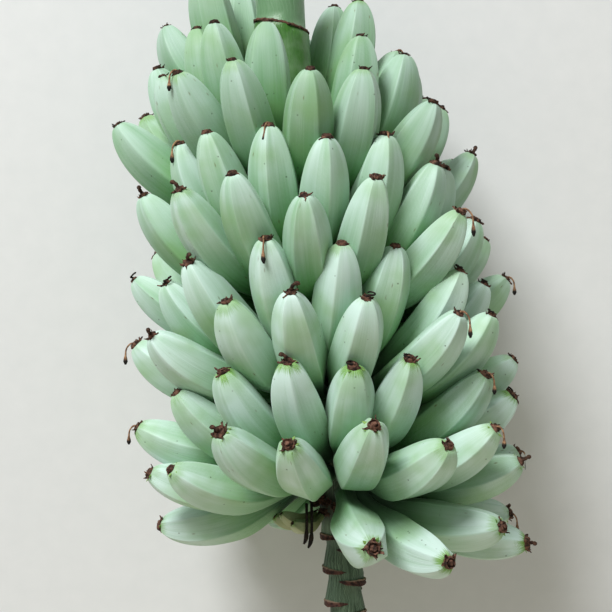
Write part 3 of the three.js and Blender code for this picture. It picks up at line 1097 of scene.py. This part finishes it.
def stalk_skin():
    """Green stalk: glossy and fresh above, grey-green, ribbed and dull below the fruit."""
    made, n, shader = material("stalk_skin", 0.45)
    own = n.attribute("own_place", 1)
    lines = n.grouped(STRIATIONS, Own=own, Count=28.0)
    x, height, _ = n.split(own)
    cloud = n.clouds(26.0)
    fresh = n.mix(lines["Line"], colour(30, 84, 20), colour(78, 132, 52))
    waxed = n.mix(lines["Line"], colour(62, 112, 62), colour(136, 170, 136))
    over = n.plus(height, n.times(x, COLLAR_SLANT / STALK_TOP_RADIUS))
    fresh = n.mix(n.ramp(over, COLLAR - 1, COLLAR + 1), fresh, waxed)
    old = n.mix(n.ramp(lines["Line"], 0.32, 0.78), colour(42, 62, 42), colour(118, 144, 118))
    skin = n.mix(n.ramp(height, -160, 60), old, fresh)
    skin = n.mix(n.ramp(cloud, 0.5, 0.72, 0.0, 0.4), skin, colour(146, 170, 142))
    marks = n.grouped(SPECKS, Vector=n.object_place(), Scale=120.0, Size=0.14, Rarity=0.8)
    skin = n.mix(n.times(marks["Mark"], 0.7), skin, colour(40, 44, 26))
    dark = n.times(n.ramp(height, -232, -214), n.ramp(height, -186, -200, 0.0, 0.75))
    skin = n.mix(dark, skin, colour(26, 24, 15))
    finish(n, shader, skin, n.ramp(height, -200, 150, 0.6, 0.32), lines["Line"], 0.0004)
    return made


def cut_face():
    """The cut end of the stalk: pale wet fibres flecked with brown."""
    made, n, shader = material("stalk_cut_face", 0.4)
    fibres = n.cells(n.stretched(n.object_place(), (1.0, 0.05, 1.0)), 420.0)
    cloud = n.clouds(60.0)
    pale = n.mix(cloud, colour(226, 219, 178), colour(196, 190, 138))
    pith = n.mix(n.ramp(fibres, 0.0, 0.5), colour(142, 118, 72), pale)
    finish(n, shader, pith, n.ramp(fibres, 0.0, 0.6, 0.7, 0.45), fibres, 0.0004)
    return made


def dry_brown(name, dark, light, scale=260.0):
    """Dead flower parts and cork: brittle browns, rough all over."""
    made, n, shader = material(name, 0.25)
    coarse = n.clouds(scale, 4.0)
    fine = n.clouds(4 * scale)
    brown = n.mix(n.ramp(coarse, 0.35, 0.68), dark, light)
    finish(n, shader, brown, n.ramp(fine, 0.3, 0.7, 0.65, 0.92), fine, 0.0006)
    return made


def scar_cork():
    """Torn cork: dark in the hollow and below, pale along the lip."""
    made, n, shader = material("scar_cork", 0.25)
    coarse = n.clouds(300.0, 4.0)
    own = n.split(n.attribute("own_place", 1))[2]
    brown = n.mix(n.ramp(coarse, 0.35, 0.68), colour(46, 29, 26), colour(104, 70, 62))
    level = n.sway(own, coarse, 0.8)
    brown = n.mix(n.ramp(level, 0.45, 0.85, 0.0, 0.75), brown, colour(160, 138, 118))
    finish(n, shader, brown, n.ramp(coarse, 0.3, 0.7, 0.65, 0.92), coarse, 0.0008)
    return made


def dry_style():
    """A dead style: tan along its stick and nearly black at the knob on its end."""
    made, n, shader = material("dried_style", 0.3)
    share = n.split(n.attribute("own_place", 1))[2]
    cloud = n.clouds(300.0)
    stick = n.mix(n.ramp(cloud, 0.35, 0.65), colour(98, 66, 46), colour(168, 130, 98))
    skin = n.mix(n.ramp(share, 0.76, 0.86), stick, colour(24, 20, 18))
    finish(n, shader, skin, n.ramp(cloud, 0.3, 0.7, 0.6, 0.85), cloud, 0.0005)
    return made


def crown_skin(name, dark, light):
    """Mottled bare green: the crowns, and the sepals of the lower fingers."""
    made, n, shader = material(name, 0.35)
    cloud = n.clouds(90.0, 4.0)
    base = n.mix(n.ramp(cloud, 0.3, 0.7), dark, light)
    finish(n, shader, base, n.ramp(cloud, 0.3, 0.7, 0.45, 0.65), cloud, 0.0008)
    return made


# --- the bunch

def dress(piece, coat=None, node=None):
    """Gives a piece its finish and its body, and hides the solid it stands for."""
    if coat is not None:
        piece.data.materials.clear()
        piece.data.materials.append(coat)
    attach(piece, "root")
    if node is not None:
        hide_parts(node)


def lay_cluster(name, node, fingers, numbers, form, skin, crown_coat):
    """Neighbouring fingers and the crown that carries them, as one piece."""
    pieces = [lay_finger(form, f, next(numbers)) for f in fingers]
    for piece in pieces:
        piece.data.materials.append(skin)
    crown = crown_of(fingers)
    crown.data.materials.append(crown_coat)
    dress(joined(name, pieces + [crown]), node=node)


def parts_of(fingers, count):
    """A hand's fingers in order round the stalk, cut into as many parts as it has solids."""
    order = sorted(fingers, key=lambda f: f.angle)
    cuts = [p * len(order) // count for p in range(count + 1)]
    return [order[a:b] for a, b in zip(cuts, cuts[1:])]


# Radii along each kind of twig, in millimetres.
TWIG_RADII = {
    "style": (1.3, 1.1, 0.9, 0.85, 0.85, 0.9, 1.1, 1.9, 2.4, 0.9),
    "stub": (1.8, 2.2, 1.7, 2.1, 1.5, 2.1, 2.4, 0.8),
    "tendril": (1.5, 1.1, 1.0, 0.9, 0.9, 0.8, 0.9, 0.5),
    "strand": (1.7, 1.5, 1.5, 1.4, 1.5, 1.4, 1.5, 2.6, 2.3, 1.0),
    "sepal": (2.4, 2.2, 1.5, 0.2),
}
DARK_HANDS = 3  # the first hands' flowers are darker
SEPAL_HANDS = slice(6, -1)


def build_hands(hands, finger, flowers, brown, dark):
    # Each skin's first colour is its foot's deep green, which also paints the shade between the
    # fingers.
    skin = waxy_skin("fruit_skin", colour(42, 104, 36), colour(108, 164, 104),
                     colour(207, 229, 222), colour(134, 178, 110), 0.07)
    young = waxy_skin("young_fruit_skin", colour(92, 104, 54), colour(140, 142, 98),
                      colour(178, 186, 150), colour(120, 140, 60), 0.16)
    crown = crown_skin("crown_skin", colour(46, 70, 36), colour(92, 124, 72))
    numbers = itertools.count(1)
    for h, fingers in enumerate(hands[:-1], 1):
        for p, part in enumerate(parts_of(fingers, HANDS[h - 1]["parts"]), 1):
            lay_cluster(f"hand_{h}_fingers_{p}", f"hand_{h}_fruit_{p}", part, numbers, finger,
                        skin, crown)
        dress(joined(f"hand_{h}_flowers", [flower_on(f, flowers) for f in fingers]),
              dark if h <= DARK_HANDS else brown)
    lay_cluster("young_hand", "undeveloped_hand", hands[-1], numbers, finger, young, crown)
    dress(joined("young_hand_flowers", [flower_on(f, flowers) for f in hands[-1]]), brown)


def build_bunch():
    hands = [hand_of_fingers(hand, h) for h, hand in enumerate(HANDS + [SMALL_HAND])]
    settle([f for hand in hands for f in hand])
    finger = model_finger()
    flowers = [model_flower(kind) for kind in range(FLOWER_KINDS)]
    twigs = {kind: model_twig(f"{kind}_form", radii) for kind, radii in TWIG_RADII.items()}
    brown = dry_brown("dried_flower", colour(38, 25, 21), colour(122, 86, 70))
    dark = dry_brown("dried_stub", colour(34, 23, 18), colour(88, 60, 46))
    black = dry_brown("dried_strand", colour(14, 11, 10), colour(44, 32, 26))
    build_hands(hands, finger, flowers, brown, dark)
    ends = [made for hand in hands[:-1] for f in hand for made in dry_end_on(f, twigs)]
    dry = {"style": dry_style(), "stub": dark, "tendril": black}
    kinds = [[made for made in ends if made.name.startswith(kind)] for kind in dry]
    for kind, pieces in zip(dry, kinds):
        dress(joined(f"dry_{kind}s", pieces), dry[kind])
    sepals = [made for hand in hands[SEPAL_HANDS] for f in hand
              for made in sepals_on(f, twigs["sepal"])]
    leafy = crown_skin("sepal_skin", colour(84, 126, 50), colour(138, 172, 90))
    dress(joined("green_sepals", sepals), leafy)
    dress(model_strands(twigs["strand"]), black)
    dress(model_crumbs(flowers), dark)
    for form in [finger, *twigs.values(), *flowers]:
        bpy.data.objects.remove(form)


def build_stalk():
    dress(model_stalk(), node="stalk")
    dress(model_scars(), scar_cork())
    cork = dry_brown("bract_cork", colour(46, 30, 24), colour(112, 78, 62), 300.0)
    dress(model_collar(), cork)


# --- the studio

# Metres; a lamp's values are its place, size, watts and tint.
FLOOR_SIZE = 6
ROOM_TINT = (0.96, 0.97, 0.89, 1)
ROOM_STRENGTH = 0.36
LAMPS = {
    "key_lamp": ((-1.85, 3.5, 3.0), 1.8, 280, (0.98, 1.0, 1.0)),
    "warm_lamp": ((0.3, -2.6, 1.2), 2.0, 17, (1.0, 0.82, 0.5)),
}
LAMPS_AIM = (0, 0, 0.2)
CAMERA_OVER = 1.246  # over the stalk's axis
CAMERA_FOCUS = 1184 / 612  # focal length in picture widths
SENSOR = 36


def build_studio():
    scene = bpy.context.scene
    scene.view_settings.view_transform = "Standard"
    bpy.ops.object.select_all(action="DESELECT")
    bpy.ops.mesh.primitive_plane_add(size=FLOOR_SIZE)
    floor = bpy.context.object
    floor.name = "floor"
    paper, n, shader = material("floor_paper", 0.2)
    grained = n.mix(n.clouds(40.0), colour(213, 214, 215), colour(221, 221, 222))
    n.feed(shader, {"Base Color": grained, "Roughness": 0.9})
    floor.data.materials.append(paper)
    world = bpy.data.worlds.new("soft_room")
    world.use_nodes = True
    room = world.node_tree.nodes["Background"].inputs
    room["Color"].default_value = ROOM_TINT
    room["Strength"].default_value = ROOM_STRENGTH
    scene.world = world
    for name, values in LAMPS.items():
        add_lamp(name, *values)
    lens = bpy.data.cameras.new("camera")
    lens.sensor_width = SENSOR
    lens.lens = SENSOR * CAMERA_FOCUS
    lens.clip_end = 20
    camera = added("camera", lens)
    camera.location = (SHIFT[0] * MM, SHIFT[1] * MM, GROUND * MM + CAMERA_OVER)
    scene.camera = camera


def add_lamp(name, place_at, size, power, tint):
    light = bpy.data.lights.new(name, "AREA")
    light.size = size
    light.energy = power
    light.color = tint
    lamp = added(name, light)
    lamp.location = place_at
    aim = Vector(LAMPS_AIM) - Vector(place_at)
    lamp.rotation_euler = aim.to_track_quat("-Z", "Y").to_euler()


build_studio()
build_bunch()
build_stalk()
